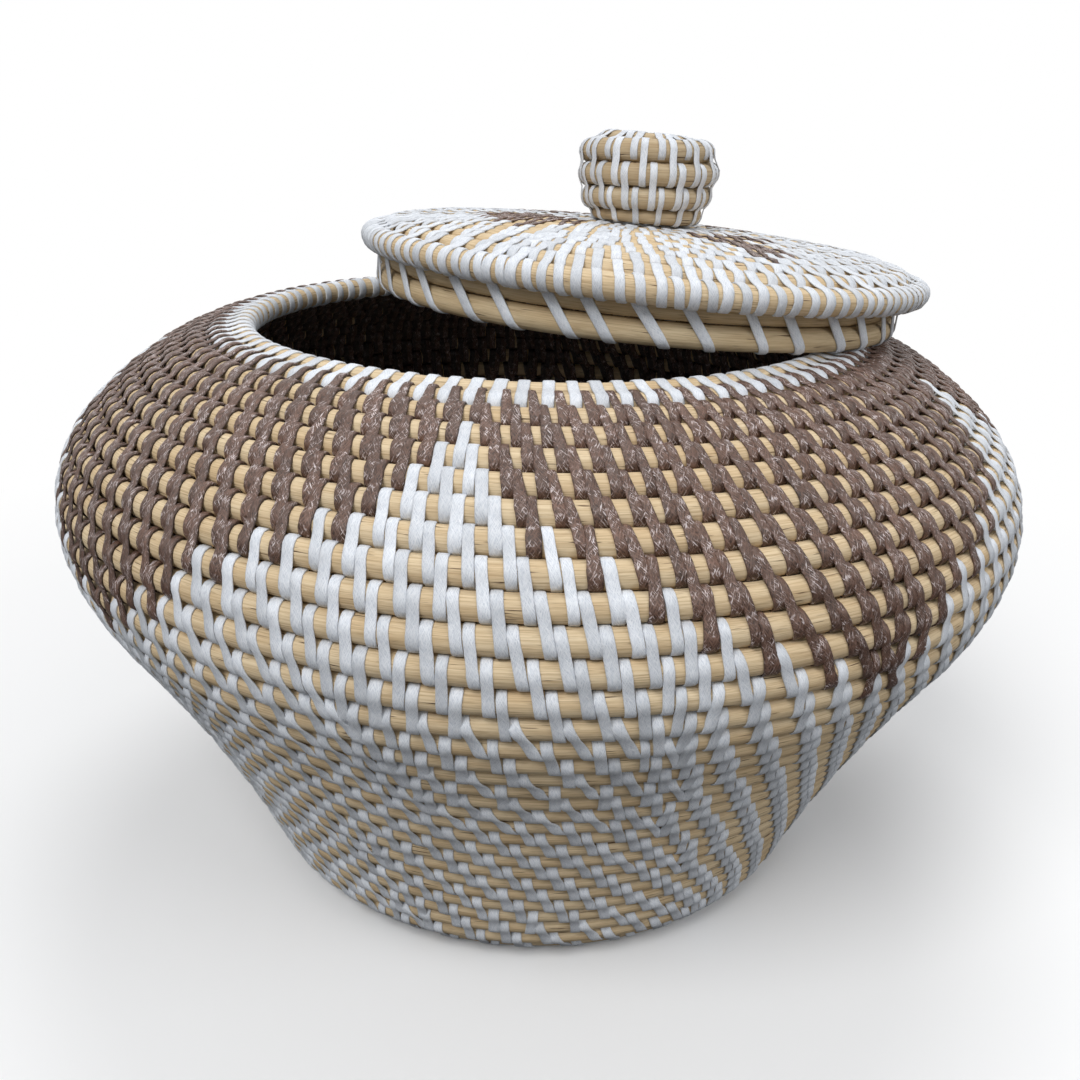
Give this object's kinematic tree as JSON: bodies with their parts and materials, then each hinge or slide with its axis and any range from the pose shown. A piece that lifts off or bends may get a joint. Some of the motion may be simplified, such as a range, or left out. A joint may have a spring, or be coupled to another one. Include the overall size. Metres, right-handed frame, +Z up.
{
  "type": "lidded coiled cane jar",
  "caption": "Round-bellied coiled cane jar with a narrow base, a wide mouth and a loose knobbed lid that rests askew on the rim; stores small dry things.",
  "frame": {"origin": "middle of the flat underside of the base, on the jar's axis, at the surface that it stands on", "axes": "+Z up along the jar's axis, -Y towards the side that the picture shows, +X to its right"},
  "size_m": [0.2597, 0.2597, 0.2034],
  "materials": {
    "cane": "peeled round cane, pale tan, matt, with fine lengthwise grain",
    "hoop_cane": "bare round cane, a little darker, dull with handling",
    "white_strip": "flat bleached palm strip, off-white, fibrous, matt",
    "brown_strip": "flat dyed palm strip, dark brown, fibrous, slightly glossy"
  },
  "bodies": {
    "jar": {"jar_cane_1": "cane", "jar_cane_2": "cane", "jar_cane_3": "cane", "jar_cane_4": "cane", "jar_cane_5": "cane", "jar_cane_6": "cane", "jar_cane_7": "cane", "base_start_knot": "white_strip"},
    "lid": {"flange_hoop_lower": "hoop_cane", "flange_hoop_upper": "hoop_cane", "lid_cane": "cane", "lid_start_knot": "white_strip", "knob_cane": "cane", "knob_start_knot": "white_strip"}
  },
  "joints": [
    {"name": "lid_lift", "type": "slide", "parent": "jar", "child": "lid", "axis": [0, 0, 1], "range_m": [0, 0.12]}
  ]
}
